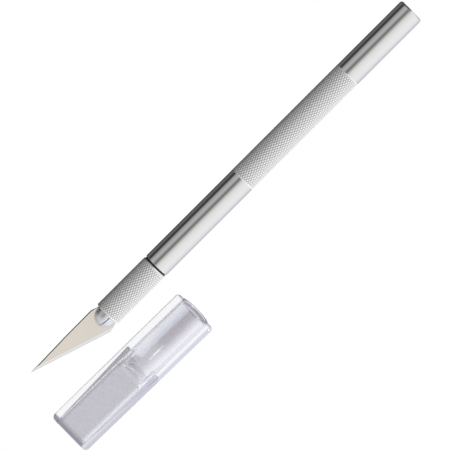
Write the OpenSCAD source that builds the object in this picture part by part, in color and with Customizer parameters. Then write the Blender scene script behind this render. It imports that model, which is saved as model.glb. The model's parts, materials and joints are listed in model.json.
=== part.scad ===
// Hobby craft knife with a pointed replaceable blade and a clear safety cap.
//
// The knife lies along the X axis. The origin is the centre of the handle's
// flat rear face, +X points out of that face and the blade points along -X.
// "Station" below means the distance forward of the rear face, so a station
// of 30 lies at x = -30. The cap lies beside the blade on the same table.

/* [Handle] */
// Length of the handle, from its rear face to its front shoulder
handle_length = 101.6; // [98:0.1:110]
// Diameter of the smooth parts of the handle
handle_d = 7.94; // [7.9:0.01:8.2]
// Height by which the knurled bands stand above the smooth handle
knurl_rise = 0.05; // [0.02:0.01:0.1]
// Length of the smooth grip at the rear of the handle
rear_smooth = 25.4; // [20:0.1:35]
// Length of the knurled band in the middle of the handle
band_length = 41.8; // [30:0.1:50]
// Chamfer on the rim of the rear face
rear_chamfer = 0.5; // [0.2:0.05:1]

/* [Collar] */
// Length of the knurled collar
collar_length = 19.05; // [18.8:0.05:24]
// Width of the groove between the handle and the collar
groove_width = 0.5; // [0.3:0.05:0.8]
// Chamfer on both rims of the collar
collar_chamfer = 0.3; // [0.1:0.05:0.4]

/* [Collet] */
// Distance that the nose stands out of the collar
nose_length = 4; // [3.6:0.05:4.5]
// Diameter of the nose where it leaves the collar
nose_d = 6.7; // [6.6:0.02:6.8]
// Diameter of the split jaw body inside the collar
jaw_d = 6.16; // [6.1:0.01:6.18]
// Diameter of the stem that screws into the handle
stem_d = 4.9; // [4.5:0.05:4.95]
// Length of the stem inside the handle
stem_length = 11; // [8:0.5:12]
// Width across the flats that key the collet to the collar
key_flats = 5.2; // [5:0.05:5.3]
// Width of the slit that splits each pair of jaws
jaw_slit = 0.28; // [0.2:0.02:0.4]
// Radial clearance between the collet and what it turns or slides in
collet_gap = 0.04; // [0.02:0.01:0.05]

/* [Blade] */
// Thickness of the blade
blade_t = 0.5; // [0.4:0.02:0.6]
// Length of the blade in front of the collar
blade_reach = 26.75; // [24:0.25:28]
// Length of the tang behind the collar's front face
tang_length = 13.1; // [10:0.1:13.2]
// Width of the tang
tang_w = 6; // [5:0.05:6.04]
// Distance from the axis to the highest point of the spine
spine_y = 4.3; // [4.1:0.05:4.6]
// Distance from the axis to the heel of the cutting edge
heel_y = 4.28; // [4:0.02:4.6]
// Width of the ground bevel along the cutting edge
bevel_w = 0.85; // [0.5:0.05:1.2]
// Roll of the blade and its collet about the axis of the knife
roll = 20; // [0:1:45]

/* [Safety cap] */
// Length of the cap
cap_length = 50.8; // [48:0.1:54]
// Width of the cap across its wings at the closed end
cap_w = 13.82; // [13:0.02:14.5]
// Extra width at the mouth, which is the draft of the moulding
cap_draft = 0.33; // [0:0.01:0.5]
// Outer diameter of the tube
cap_tube_d = 10.2; // [10:0.05:10.6]
// Thickness of the wings
wing_t = 2.4; // [2:0.1:3]
// Thickness of the flattened front
flat_t = 4.2; // [3.8:0.1:4.8]
// Diameter of the socket that slides over the collar
socket_d = 8.2; // [8.15:0.01:8.4]
// Depth of the socket
socket_depth = 20.6; // [19.5:0.1:21]
// Thickness of the slot that takes the blade
slot_t = 1.3; // [0.9:0.1:1.5]
// Distance from the knife's axis to the cap's closed end, across the table
cap_aside = 16.25; // [14:0.05:20]
// Turn of the cap on the table, away from the knife
cap_turn = 0.74; // [0:0.02:5]

/* [Hidden] */
$fn = 96;
eps = 0.01;
far = 300;

handle_r = handle_d / 2;
crest_r = handle_r + knurl_rise;
band_start = rear_smooth;
band_end = rear_smooth + band_length;
front_chamfer = 0.15;

// The register is the low boss on the handle's front that the collar runs on.
register_r = 3.7;
register_gap = 0.02;
collar_start = handle_length + groove_width;
collar_end = collar_start + collar_length;
register_end = collar_start - register_gap;

jaw_r = jaw_d / 2;
nose_r = nose_d / 2;
stem_r = stem_d / 2;
taper_length = 2;
key_length = 4.5;
stem_start = collar_start - 0.6 - stem_length;
key_start = collar_start + 0.4;
key_end = key_start + key_length;
taper_start = collar_end - taper_length;
nose_centre = collar_end + nose_length - nose_r;
nose_tip = collar_end + nose_length;
stem_chamfer = 0.5;

bore_r = jaw_r + collet_gap;
stem_bore_r = stem_r + collet_gap;
stem_bore_start = stem_start - 3.5;
drill_point = 1.4;

tang_start = collar_end - tang_length;
blade_slit = blade_t + 0.02;
blade_slit_start = tang_start - 0.5;
jaw_slit_start = tang_start + 2;
blade_tip = collar_end + blade_reach;
shoulder = collar_end + 0.2;
spine_top = collar_end + 2.4;
spine_kink = blade_tip - 14.3;
tip_y = spine_y - 0.45;
edge_t = 0.04;
tang_corner = 0.6;
// The straight edge leaves the heel's round as the tangent that meets the tip.
heel_r = 1.6;
heel_station = collar_end + 2.75;
heel_back_angle = 25;
heel_steps = 6;
tip_run = blade_tip - heel_station;
tip_rise = tip_y + heel_y - heel_r;
edge_angle = atan2(tip_rise, tip_run) + asin(heel_r / norm([tip_run, tip_rise]));

cap_r = cap_tube_d / 2;
wing_half = cap_w / 2;
mouth_half = wing_half + cap_draft / 2;
wing_end_r = 1.4;
wing_mouth_r = 1;
end_wall = 1.5;
ramp_start = 23.8;
ramp_run = 3.6;
ramp_end = ramp_start + ramp_run;
flat_half = flat_t / 2;
ramp_rise = cap_r - flat_half;
socket_r = socket_d / 2;
socket_floor = cap_length - socket_depth;
slot_end_half = 5;
slot_root_half = 6.2;
// The room for the nose keeps one wall thickness behind the ramps, and is a
// little narrower than the socket, so that the collar seats on a ledge.
seat_ledge = 0.2;
room_r = socket_r - seat_ledge;
ramp_wall = 1;
ramp_slope = ramp_rise / ramp_run;
wall_rise = ramp_wall * norm([1, ramp_slope]);
room_start = ramp_start + (slot_t / 2 + wall_rise - flat_half) / ramp_slope;
room_end = ramp_start + (room_r + wall_rise - flat_half) / ramp_slope;
// The cap rests on the rim of its ramp and on the edge of its closed end.
cap_tilt = atan2(ramp_rise, ramp_end);
table_z = -crest_r;
cap_x = blade_tip + 5.27;
cap_z = table_z + flat_half * cos(cap_tilt);

// Turns a profile of [radius, station] points about the axis of the knife.
module turned(profile) {
    rotate([0, -90, 0])
        rotate_extrude()
            polygon(profile);
}

// A plain round bar between two stations.
module bar(rear, front, radius) {
    turned([[0, rear], [radius, rear], [radius, front], [0, front]]);
}

// A block between two stations, centred on the axis.
module block(rear, front, width, height) {
    translate([-front, -width / 2, -height / 2])
        cube([front - rear, width, height]);
}

// Extrudes a flat [station, offset] outline into a plate across the axis.
module plate(outline, thickness) {
    mirror([1, 0, 0])
        translate([0, 0, -thickness / 2])
            linear_extrude(height = thickness)
                polygon(outline);
}

// Keyed section shared by the collet and by the hole in the collar.
module keyed_bar(rear, front, radius, flats) {
    intersection() {
        bar(rear, front, radius);
        block(rear - eps, front + eps, far, flats);
    }
}

// Aluminium handle: smooth ends, a knurled band, and a blind hole for the stem.
module handle() {
    color([0.80, 0.81, 0.83])
    difference() {
        union() {
            turned([
                [0, 0], [handle_r - rear_chamfer, 0], [handle_r, rear_chamfer],
                [handle_r, handle_length - front_chamfer],
                [handle_r - front_chamfer, handle_length], [0, handle_length]
            ]);
            turned([
                [0, band_start], [handle_r, band_start],
                [crest_r, band_start + knurl_rise], [crest_r, band_end - knurl_rise],
                [handle_r, band_end], [0, band_end]
            ]);
            bar(handle_length - 1, register_end, register_r);
        }
        bar(stem_bore_start, register_end + 1, stem_bore_r);
        turned([
            [0, stem_bore_start - drill_point], [stem_bore_r, stem_bore_start],
            [0, stem_bore_start + eps]
        ]);
    }
}

// Knurled collar: turning it turns the keyed collet and closes the jaws.
module collar() {
    color([0.76, 0.77, 0.79])
    difference() {
        turned([
            [0, collar_start], [crest_r - collar_chamfer, collar_start],
            [crest_r, collar_start + collar_chamfer],
            [crest_r, collar_end - collar_chamfer],
            [crest_r - collar_chamfer, collar_end], [0, collar_end]
        ]);
        rotate([roll, 0, 0])
            keyed_bar(collar_start - 1, key_end, bore_r, key_flats + 2 * collet_gap);
        bar(key_end - eps, collar_end + 1, bore_r);
        turned([
            [0, taper_start], [jaw_r + collet_gap, taper_start],
            [nose_r + collet_gap, collar_end], [nose_r + collet_gap, collar_end + 1],
            [0, collar_end + 1]
        ]);
    }
}

// Collet: domed nose, four jaws split by two slits, keyed shank and stem.
module collet() {
    color([0.86, 0.87, 0.91])
    rotate([roll, 0, 0])
    difference() {
        union() {
            turned([
                [0, stem_start], [stem_r - stem_chamfer, stem_start],
                [stem_r, stem_start + stem_chamfer], [stem_r, key_start + eps],
                [0, key_start + eps]
            ]);
            keyed_bar(key_start, key_end + 0.5 + eps, jaw_r, key_flats);
            bar(key_end + 0.5, taper_start + eps, jaw_r);
            turned([
                [0, taper_start], [jaw_r, taper_start], [nose_r, collar_end],
                [nose_r, nose_centre], [0, nose_centre]
            ]);
            intersection() {
                translate([-nose_centre, 0, 0]) sphere(r = nose_r);
                bar(nose_centre - eps, nose_tip + 1, nose_r + 1);
            }
        }
        block(blade_slit_start, nose_tip + 1, far, blade_slit);
        block(jaw_slit_start, nose_tip + 1, jaw_slit, far);
    }
}

// Point of the heel's round whose outward direction leans forward by an angle.
function heel_point(lean) = [
    heel_station + heel_r * sin(lean), heel_r - heel_y - heel_r * cos(lean)
];

// Wedge that grinds one side of the cutting edge, in the blade's own plane.
module grind(side) {
    cut = (blade_t - edge_t) / 2;
    grind_angle = atan2(cut, bevel_w);
    start = heel_point(edge_angle);
    translate([-start.x, start.y, side * edge_t / 2])
        rotate([0, 0, -edge_angle])
            rotate([side * grind_angle, 0, 0])
                translate([-40, -10, side > 0 ? 0 : -5])
                    cube([50, 20, 5]);
}

// Pointed blade: straight cutting edge, nearly straight spine, plain tang.
module blade() {
    tang_half = tang_w / 2;
    heel_sweep = edge_angle + heel_back_angle;
    color([0.86, 0.83, 0.78])
    rotate([roll, 0, 0])
    difference() {
        plate(concat(
            [
                [tang_start, -tang_half + tang_corner],
                [tang_start, tang_half - tang_corner],
                [tang_start + tang_corner, tang_half], [shoulder, tang_half],
                [shoulder + 0.15, tang_half + 0.5], [collar_end + 1.25, spine_y - 0.5],
                [spine_top - 0.5, spine_y - 0.12], [spine_top, spine_y],
                [spine_kink, spine_y - 0.05], [blade_tip, tip_y]
            ],
            [for (i = [0 : heel_steps])
                heel_point(edge_angle - i * heel_sweep / heel_steps)],
            [
                [shoulder + 0.15, -tang_half - 0.5], [shoulder, -tang_half],
                [tang_start + tang_corner, -tang_half]
            ]
        ), blade_t);
        grind(1);
        grind(-1);
    }
}

// Outline of the winged plate, with round corners at both ends.
module wing_outline() {
    draft = atan2(mouth_half - wing_half, cap_length);
    end_x = wing_end_r;
    mouth_x = cap_length - wing_mouth_r;
    end_y = wing_half - wing_end_r;
    mouth_y = mouth_half - wing_mouth_r;
    polygon([
        [0, -end_y], [0, end_y],
        [end_x - wing_end_r * sin(draft), end_y + wing_end_r * cos(draft)],
        [mouth_x - wing_mouth_r * sin(draft), mouth_y + wing_mouth_r * cos(draft)],
        [cap_length, mouth_y], [cap_length, -mouth_y],
        [mouth_x - wing_mouth_r * sin(draft), -mouth_y - wing_mouth_r * cos(draft)],
        [end_x - wing_end_r * sin(draft), -end_y - wing_end_r * cos(draft)]
    ]);
    for (side = [-1, 1]) {
        translate([end_x, side * end_y]) circle(r = wing_end_r);
        translate([mouth_x, side * mouth_y]) circle(r = wing_mouth_r);
    }
}

// Takes one face of the tube down to the flattened front and its ramp.
module thumb_flat() {
    rotate([90, 0, 0])
        translate([0, 0, -cap_r - 1])
            linear_extrude(height = 2 * cap_r + 2)
                polygon([
                    [-1, flat_half], [ramp_start, flat_half],
                    [ramp_end + ramp_run, flat_half + 2 * ramp_rise],
                    [-1, flat_half + 2 * ramp_rise]
                ]);
}

// Room for the nose behind the socket: it narrows to the slot under the ramps.
module nose_room() {
    slot_half = slot_t / 2;
    over = room_r + 0.5;
    over_end = room_end + 0.5 / ramp_slope;
    intersection() {
        translate([room_start, 0, 0])
            rotate([0, 90, 0]) cylinder(h = socket_floor - room_start + eps, r = room_r);
        rotate([90, 0, 0])
            translate([0, 0, -cap_r])
                linear_extrude(height = 2 * cap_r)
                    polygon([
                        [room_start, -slot_half], [room_start, slot_half],
                        [over_end, over], [socket_floor + 1, over],
                        [socket_floor + 1, -over], [over_end, -over]
                    ]);
    }
}

// Safety cap in its own frame: closed end at x = 0, mouth at x = cap_length.
module cap_body() {
    difference() {
        union() {
            difference() {
                rotate([0, 90, 0]) cylinder(h = cap_length, r = cap_r);
                thumb_flat();
                rotate([180, 0, 0]) thumb_flat();
            }
            translate([0, 0, -wing_t / 2])
                linear_extrude(height = wing_t)
                    wing_outline();
        }
        translate([socket_floor, 0, 0])
            rotate([0, 90, 0]) cylinder(h = socket_depth + 1, r = socket_r);
        nose_room();
        translate([0, 0, -slot_t / 2])
            linear_extrude(height = slot_t)
                polygon([
                    [end_wall, -slot_end_half], [end_wall, slot_end_half],
                    [socket_floor + eps, slot_root_half],
                    [socket_floor + eps, -slot_root_half]
                ]);
    }
}

// Clear plastic cap, lying tilted on the table beside the blade.
module safety_cap() {
    color([0.88, 0.88, 0.93, 0.45])
    translate([-cap_x, -cap_aside, cap_z])
        rotate([0, -cap_tilt, -cap_turn])
            cap_body();
}

handle();
collar();
collet();
blade();
safety_cap();
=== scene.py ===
# Looks of the hobby craft knife and its clear safety cap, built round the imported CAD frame.

import json
import math

import bmesh
import bpy
import numpy as np
from mathutils import Matrix, Vector


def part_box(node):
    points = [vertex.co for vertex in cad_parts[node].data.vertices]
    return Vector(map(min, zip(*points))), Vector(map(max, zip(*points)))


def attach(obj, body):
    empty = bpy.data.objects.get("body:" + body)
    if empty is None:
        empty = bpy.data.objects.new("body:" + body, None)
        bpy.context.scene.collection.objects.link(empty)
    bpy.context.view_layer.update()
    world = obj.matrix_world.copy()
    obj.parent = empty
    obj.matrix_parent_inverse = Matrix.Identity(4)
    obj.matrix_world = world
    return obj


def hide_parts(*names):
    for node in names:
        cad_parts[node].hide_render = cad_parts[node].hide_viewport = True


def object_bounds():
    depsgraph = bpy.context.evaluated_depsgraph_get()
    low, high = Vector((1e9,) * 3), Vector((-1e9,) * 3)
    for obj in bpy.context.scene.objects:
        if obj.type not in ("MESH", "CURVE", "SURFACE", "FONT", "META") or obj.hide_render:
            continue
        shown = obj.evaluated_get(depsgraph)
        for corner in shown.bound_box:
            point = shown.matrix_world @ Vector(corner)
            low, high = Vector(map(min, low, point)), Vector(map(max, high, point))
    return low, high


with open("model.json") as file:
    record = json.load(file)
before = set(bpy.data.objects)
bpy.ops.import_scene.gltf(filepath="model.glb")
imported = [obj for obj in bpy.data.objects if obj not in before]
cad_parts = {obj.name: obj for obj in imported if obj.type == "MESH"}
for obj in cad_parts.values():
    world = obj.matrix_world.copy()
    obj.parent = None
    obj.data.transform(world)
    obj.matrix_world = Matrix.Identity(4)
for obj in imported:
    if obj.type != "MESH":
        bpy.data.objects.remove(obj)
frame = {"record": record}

cad_low, cad_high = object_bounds()
scene = bpy.context.scene

# ---------------------------------------------------------------------------
# Sizes, in millimetres. The frame gives the places, and these give the detail.
# ---------------------------------------------------------------------------
MM = 0.001


def cad_box(node):
    """Lowest and highest corner of a CAD node, in millimetres."""
    low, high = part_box(node)
    return low / MM, high / MM


handle_low, handle_high = cad_box("handle")
collar_low, collar_high = cad_box("collar")
blade_low, blade_high = cad_box("blade")

CREST_R = handle_high.z
REAR = handle_high.x
REGISTER_FACE = handle_low.x
COLLAR_REAR = collar_high.x
COLLAR_FRONT = collar_low.x
STEM_REAR = cad_box("collet")[1].x
TANG_REAR = blade_high.x
BLADE_TIP = blade_low.x
TABLE_Z = -CREST_R

# Handle
KNURL_RISE = 0.05
HANDLE_R = CREST_R - KNURL_RISE
GROOVE_W = 0.5
HANDLE_FRONT = COLLAR_REAR + GROOVE_W
REAR_CHAMFER = 0.5
REAR_ROUND = 0.12
FRONT_CHAMFER = 0.15
FRONT_ROUND = 0.06
REAR_GRIP = 25.4
BAND_REAR = REAR - REAR_GRIP
BAND_LENGTH = 41.8
BAND_FRONT = BAND_REAR - BAND_LENGTH
REGISTER_R = 3.7
STEM_BORE_R = 2.49
STEM_BORE_DEPTH = 15.08
DRILL_POINT = 1.4

# Turned pieces: radius at which a solid end closes, distances from an edge of the extra rows
# that keep its shading crisp, and the largest error when rows are told apart
AXIS_R = 0.05
GUARD_NEAR, GUARD_MID, GUARD_FAR = 0.05, 0.3, 0.4
TOUCH = 0.01

# Diamond knurl: starts round the bar, pitch along it, depth of the grooves, their half width as a
# part of their spacing, and the number of mesh cells to a pitch
KNURL_STARTS = 32
KNURL_PITCH = 1.36
KNURL_DEPTH = 0.13
GROOVE_HALF = 0.375
KNURL_CELLS = 8
RUN_OUT_CELLS = KNURL_CELLS / 4
AROUND = KNURL_STARTS * KNURL_CELLS
ANGLES = np.arange(AROUND) * 2 * math.pi / AROUND

# Collar and collet
COLLAR_CHAMFER = 0.3
LIP_CHAMFER = 0.08
BORE_GAP = 0.04
JAW_R = 3.08
NOSE_R = 3.35
NOSE_LENGTH = 4.0
NOSE_TIP = COLLAR_FRONT - NOSE_LENGTH
NOSE_CENTRE = NOSE_TIP + NOSE_R
NOSE_STEPS = 28
NOSE_POINT_R = 0.02
NOSE_STEP = 0.003
STEM_R = 2.45
STEM_CHAMFER = 0.5
STEM_ROUND = 0.1
KEY_REAR = COLLAR_REAR - 0.4
KEY_LENGTH = 4.5
KEY_HALF = 2.6
KEY_SPARE = 0.5
TAPER_LENGTH = 2.0
BLADE_SLIT = 0.52
BLADE_SLIT_REAR = TANG_REAR + 0.5
JAW_SLIT = 0.28
JAW_SLIT_REAR = TANG_REAR - 2
SLIT_AHEAD = 1
SLIT_REACH = 5
ROLL = math.radians(20)

# Blade. The spine's bend is given from the tip, and the shoulder's round in front of the collar,
# both with their drop below the spine.
BLADE_T = 0.5
TANG_HALF = 3.0
TANG_CORNER = 0.6
SPINE_Y = 4.3
SPINE_BEND = (14.3, 0.05)
SHOULDER_ROUND = ((2.4, 0), (1.9, 0.12), (1.25, 0.5))
SHOULDER_X = COLLAR_FRONT - 0.2
SHOULDER_CUT = (0.15, 0.5)
TIP_Y = 3.85
HEEL_Y = 4.28
HEEL_R = 1.6
HEEL_X = COLLAR_FRONT - 2.75
HEEL_BACK = math.radians(25)
HEEL_STEPS = 14
BEVEL_W = 0.85
MICRO_W = 0.12
MICRO_FULLNESS = 1.6
EDGE_T = 0.05
BROKEN_EDGE = 0.03
SPINE_ROUND = 0.18
BENT_EDGE = math.radians(50)
SHARP_TIP = 1
SMALL_FACE = 0.5

# Safety cap
CAP_LENGTH = 50.8
CAP_R = 5.1
TUBE_ARC = math.radians(63)
WALL_FOOT = 5.2
CAP_HALF = 6.91
MOUTH_HALF = 7.075
WING_T = 2.4
FLAT_HALF = 2.1
FLAT_SIDE = 4.58
FLAT_DIP = 0.06
FLAT_LIFT = 0.15
EDGE_ROUND = 1.0
END_ROUND = 1.5
MOUTH_ROUND = 0.12
RAMP_START = 23.8
RAMP_RUN = 3.6
RAMP_SLOPE = (CAP_R - FLAT_HALF) / RAMP_RUN
RAMP_BLEND = 0.5
TUBE_BLEND = 0.35
WING_BLEND = 0.2
END_CORNER = 1.4
MOUTH_CORNER = 1.0
SOCKET_R = 4.1
SOCKET_DEPTH = 20.6
SOCKET_FLOOR = CAP_LENGTH - SOCKET_DEPTH
SOCKET_FLARE = 0.3
FLARE_DEPTH = 0.35
ROOM_R = 3.9
ROOM_START = 23.62
ROOM_BLEND = 0.12
ROOM_AROUND = 128
LEDGE_LENGTH = 4
LEDGE_LEAD = 1.2
END_WALL = 1.5
SLOT_T = 1.3
SLOT_END_HALF = 5.0
SLOT_ROOT_HALF = 6.2
SLOT_ROUND = 0.25

# Small steps that keep the walls of the cap's two hollows from lying in one plane
ROOM_STEP = 0.004
SLOT_STEP = 0.02

# Meshes: points closer than the gap are joined, a rounded corner takes up to this share of each
# of its sides, and lengths under the last one count as nothing
JOIN_GAP = 0.0003
CORNER_SHARE = 0.45
TINY = 1e-6


# ---------------------------------------------------------------------------
# Mesh helpers
# ---------------------------------------------------------------------------
def clean(mesh):
    """Joins doubled points, drops empty faces and turns every face outwards."""
    bm = bmesh.new()
    bm.from_mesh(mesh)
    bmesh.ops.remove_doubles(bm, verts=bm.verts[:], dist=JOIN_GAP * MM)
    bmesh.ops.dissolve_degenerate(bm, edges=bm.edges[:], dist=JOIN_GAP * MM)
    bmesh.ops.recalc_face_normals(bm, faces=bm.faces[:])
    bm.to_mesh(mesh)
    bm.free()


def smooth(obj, sharp):
    """Shades a piece smooth, with hard edges wherever it bends past an angle in degrees."""
    obj.data.shade_smooth()
    obj.data.set_sharp_from_angle(angle=math.radians(sharp))


def object_from(mesh):
    """Puts a mesh in the scene as an object of the same name."""
    obj = bpy.data.objects.new(mesh.name, mesh)
    scene.collection.objects.link(obj)
    return obj


def piece_from(name, points, faces, materials, face_slots=None, sharp=30):
    """Makes a smooth-shaded piece from points in millimetres."""
    mesh = bpy.data.meshes.new(name)
    mesh.from_pydata((np.asarray(points, float) * MM).tolist(), [], faces)
    for finish in materials:
        mesh.materials.append(finish)
    if face_slots is not None:
        mesh.polygons.foreach_set("material_index", np.asarray(face_slots, np.int32))
    mesh.update()
    clean(mesh)
    obj = object_from(mesh)
    smooth(obj, sharp)
    return obj


def piece_from_bm(name, bm, materials):
    """Makes a piece from a finished bmesh, which it frees."""
    mesh = bpy.data.meshes.new(name)
    bm.to_mesh(mesh)
    bm.free()
    for finish in materials:
        mesh.materials.append(finish)
    return object_from(mesh)


def round_corners(path, radius, steps=3):
    """Softens each inner corner of an open path of (x, r) points."""
    path = [Vector(p) for p in path]
    out = [path[0]]
    for before, corner, after in zip(path, path[1:], path[2:]):
        back, ahead = before - corner, after - corner
        cut = min(radius, CORNER_SHARE * back.length, CORNER_SHARE * ahead.length)
        start = corner + back.normalized() * cut
        end = corner + ahead.normalized() * cut
        for i in range(steps + 1):
            t = i / steps
            out.append(start * (1 - t) ** 2 + corner * 2 * t * (1 - t) + end * t * t)
    out.append(path[-1])
    return out


def plain_row(x, r):
    """A round row of a turned piece."""
    return {"x": x, "r": np.full(AROUND, r), "knurl": False}


def keyed_row(x, r, flat):
    """A round row with two flats, rolled with the blade."""
    lean = np.abs(np.sin(ANGLES - ROLL))
    return {"x": x, "r": np.minimum(r, flat / np.maximum(lean, TINY)), "knurl": False}


def knurl_depth(x, angle, origin):
    """Depth of the diamond knurl at a station and an angle, from 0 to 1."""
    turn = angle * KNURL_STARTS / (2 * math.pi)
    along = (x - origin) / KNURL_PITCH
    depth = 0
    for phase in (turn + along, turn - along):
        to_groove = np.abs(phase - np.round(phase))
        depth = np.maximum(depth, np.clip(1 - to_groove / GROOVE_HALF, 0, 1))
    return depth


def knurled_rows(rear, front):
    """Rows of a knurled band, whose grooves run out over a quarter pitch at each end."""
    count = round((rear - front) / (KNURL_PITCH / KNURL_CELLS))
    rows = []
    for i in range(count + 1):
        x = rear - i * KNURL_PITCH / KNURL_CELLS
        to_end = min(i, count - i) / RUN_OUT_CELLS
        depth = KNURL_DEPTH * min(1, to_end) * knurl_depth(x, ANGLES, rear)
        rows.append({"x": x, "r": CREST_R - depth, "knurl": True, "step": i})
    return rows


def to_groove_line(cell):
    """Distance of a mesh cell from the nearest groove's bottom, in pitches."""
    return np.abs(cell / KNURL_CELLS - np.round(cell / KNURL_CELLS))


def turned(name, rows, materials, slot_of, closed=False):
    """Skins rows about the X axis. Knurled quads are split along the nearer groove."""
    points = np.concatenate([
        np.stack([np.full(AROUND, row["x"]), row["r"] * np.cos(ANGLES),
                  row["r"] * np.sin(ANGLES)], axis=1)
        for row in rows
    ])
    j = np.arange(AROUND)
    following = (j + 1) % AROUND
    faces, slots = [], []
    pairs = list(zip(range(len(rows)), range(1, len(rows))))
    if closed:
        pairs.append((len(rows) - 1, 0))
    for i, k in pairs:
        a, b = i * AROUND + j, i * AROUND + following
        c, d = k * AROUND + following, k * AROUND + j
        slot = slot_of(rows[i], rows[k])
        if rows[i]["knurl"] and rows[k]["knurl"]:
            step = rows[i]["step"]
            rising = (to_groove_line(j + step + 1) < to_groove_line(j - step))[:, None]
            first = np.where(rising, np.stack([a, b, d], 1), np.stack([a, b, c], 1))
            second = np.where(rising, np.stack([b, c, d], 1), np.stack([a, c, d], 1))
            new = np.concatenate([first, second]).tolist()
        else:
            new = np.stack([a, b, c, d], 1).tolist()
        faces += new
        slots += [slot] * len(new)
    if not closed:
        faces.append(j[::-1].tolist())
        faces.append(((len(rows) - 1) * AROUND + j).tolist())
        slots += [slot_of(rows[0], rows[0]), slot_of(rows[-1], rows[-1])]
    return piece_from(name, points, faces, materials, slots)


def boolean(obj, tool, operation):
    """Applies an exact boolean of two objects and deletes the tool."""
    modifier = obj.modifiers.new("cut", "BOOLEAN")
    modifier.operation = operation
    modifier.solver = "EXACT"
    modifier.object = tool
    bpy.context.view_layer.update()
    result = obj.evaluated_get(bpy.context.evaluated_depsgraph_get())
    made = bpy.data.meshes.new_from_object(result)
    obj.modifiers.clear()
    clean(made)
    obj.data = made
    bpy.data.objects.remove(tool)


def block(low, high):
    """A box between two corners in millimetres, used only as a cutter."""
    ends = list(zip(low, high))
    corners = [(x, y, z) for x in ends[0] for y in ends[1] for z in ends[2]]
    faces = [(0, 1, 3, 2), (4, 6, 7, 5), (0, 4, 5, 1), (2, 3, 7, 6), (0, 2, 6, 4), (1, 5, 7, 3)]
    return piece_from("cutter", corners, faces, [])


# ---------------------------------------------------------------------------
# Materials
# ---------------------------------------------------------------------------
class Nodes:
    """A short way to write a node tree."""

    def __init__(self, tree):
        self.tree = tree

    def feed(self, socket, value):
        """Feeds an input from a socket or a plain value."""
        if isinstance(value, bpy.types.NodeSocket):
            self.tree.links.new(value, socket)
        else:
            socket.default_value = value

    def add(self, kind, inputs=None, **settings):
        """Adds a node, sets its properties and feeds its inputs."""
        made = self.tree.nodes.new(kind)
        for key, value in settings.items():
            setattr(made, key, value)
        for key, value in (inputs or {}).items():
            self.feed(made.inputs[key], value)
        return made

    def math(self, operation, a, b=0.0, c=0.0):
        """A Math node's result."""
        return self.add("ShaderNodeMath", {0: a, 1: b, 2: c}, operation=operation).outputs[0]

    def all_of(self, *factors):
        """Product of factors that run from 0 to 1."""
        product = factors[0]
        for factor in factors[1:]:
            product = self.math("MULTIPLY", product, factor)
        return product

    def length(self, a, b):
        """Length of the diagonal of two sides."""
        return self.math("SQRT", self.math("ADD", self.math("POWER", a, 2.0),
                                           self.math("POWER", b, 2.0)))

    def away(self, value, centre):
        """Distance of a value from a centre."""
        return self.math("ABSOLUTE", self.math("SUBTRACT", value, centre))

    def place(self):
        """Object coordinates, in metres."""
        return self.add("ShaderNodeTexCoord").outputs["Object"]

    def stretched(self, scale, place=None):
        """Coordinates in millimetres, scaled along each axis."""
        factors = tuple(s / MM for s in scale)
        return self.add("ShaderNodeVectorMath", {0: place or self.place(), 1: factors},
                        operation="MULTIPLY").outputs[0]

    def noise(self, vector, detail, rough=0.5):
        """Noise of scale 1 in the given coordinates."""
        return self.add("ShaderNodeTexNoise", {"Vector": vector, "Scale": 1.0, "Detail": detail,
                                               "Roughness": rough}).outputs["Fac"]

    def spread(self, noise, low, high):
        """Maps the middle of a noise's range to a range."""
        return self.add("ShaderNodeMapRange", {"Value": noise, "From Min": 0.3, "From Max": 0.7,
                                               "To Min": low, "To Max": high}).outputs[0]

    def mix(self, factor, a, b):
        """Mixes two colours, each a socket or its red, green and blue."""
        made = self.add("ShaderNodeMix", data_type="RGBA")
        self.feed(made.inputs[0], factor)
        for socket, colour in ((made.inputs[6], a), (made.inputs[7], b)):
            self.feed(socket, (*colour, 1) if isinstance(colour, tuple) else colour)
        return made.outputs[2]

    def step(self, value, start, end):
        """Rises smoothly from 0 at the start to 1 at the end."""
        return self.add("ShaderNodeMapRange", {"Value": value, "From Min": start, "From Max": end},
                        interpolation_type="SMOOTHSTEP").outputs[0]

    def bump(self, height, distance, strength):
        """A bump of a height, whose distance is in millimetres."""
        return self.add("ShaderNodeBump", {"Height": height, "Distance": distance * MM,
                                           "Strength": strength}).outputs[0]

    def light_path(self):
        """The light path's outputs."""
        return self.add("ShaderNodeLightPath").outputs


# A transmission depth above this belongs to a ray that has been through plastic
ONE_PASS = 0.5


def shade(colour, part):
    """A colour at a part of its brightness."""
    return tuple(c * part for c in colour)


def set_stops(ramp, stops):
    """Sets a colour ramp's stops from (position, colour) pairs."""
    while len(ramp.elements) < len(stops):
        ramp.elements.new(0.5)
    for element, (place, colour) in zip(ramp.elements, stops):
        element.position = place
        element.color = (*colour, 1)


def material(name):
    """A new material, its node helper and its Principled shader."""
    made = bpy.data.materials.new(name)
    made.use_nodes = True
    return made, Nodes(made.node_tree), made.node_tree.nodes["Principled BSDF"]


def dress(nodes, shader, **values):
    """Feeds a shader's inputs, written with underscores for spaces."""
    for key, value in values.items():
        nodes.feed(shader.inputs[key.replace("_", " ")], value)


def turned_metal(name, colour, roughness, marks):
    """Metal turned on a lathe: fine rings round the bar, with a slightly uneven polish."""
    made, nodes, shader = material(name)
    rings = nodes.noise(nodes.stretched((9, 0.05, 0.05)), 3)
    patches = nodes.noise(nodes.stretched((0.15, 0.5, 0.5)), 2)
    dress(nodes, shader, Metallic=1.0, Base_Color=nodes.mix(patches, shade(colour, 0.96), colour),
          Roughness=nodes.spread(rings, roughness * 0.75, roughness * 1.25),
          Normal=nodes.bump(rings, marks, 0.5))
    return made


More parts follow.
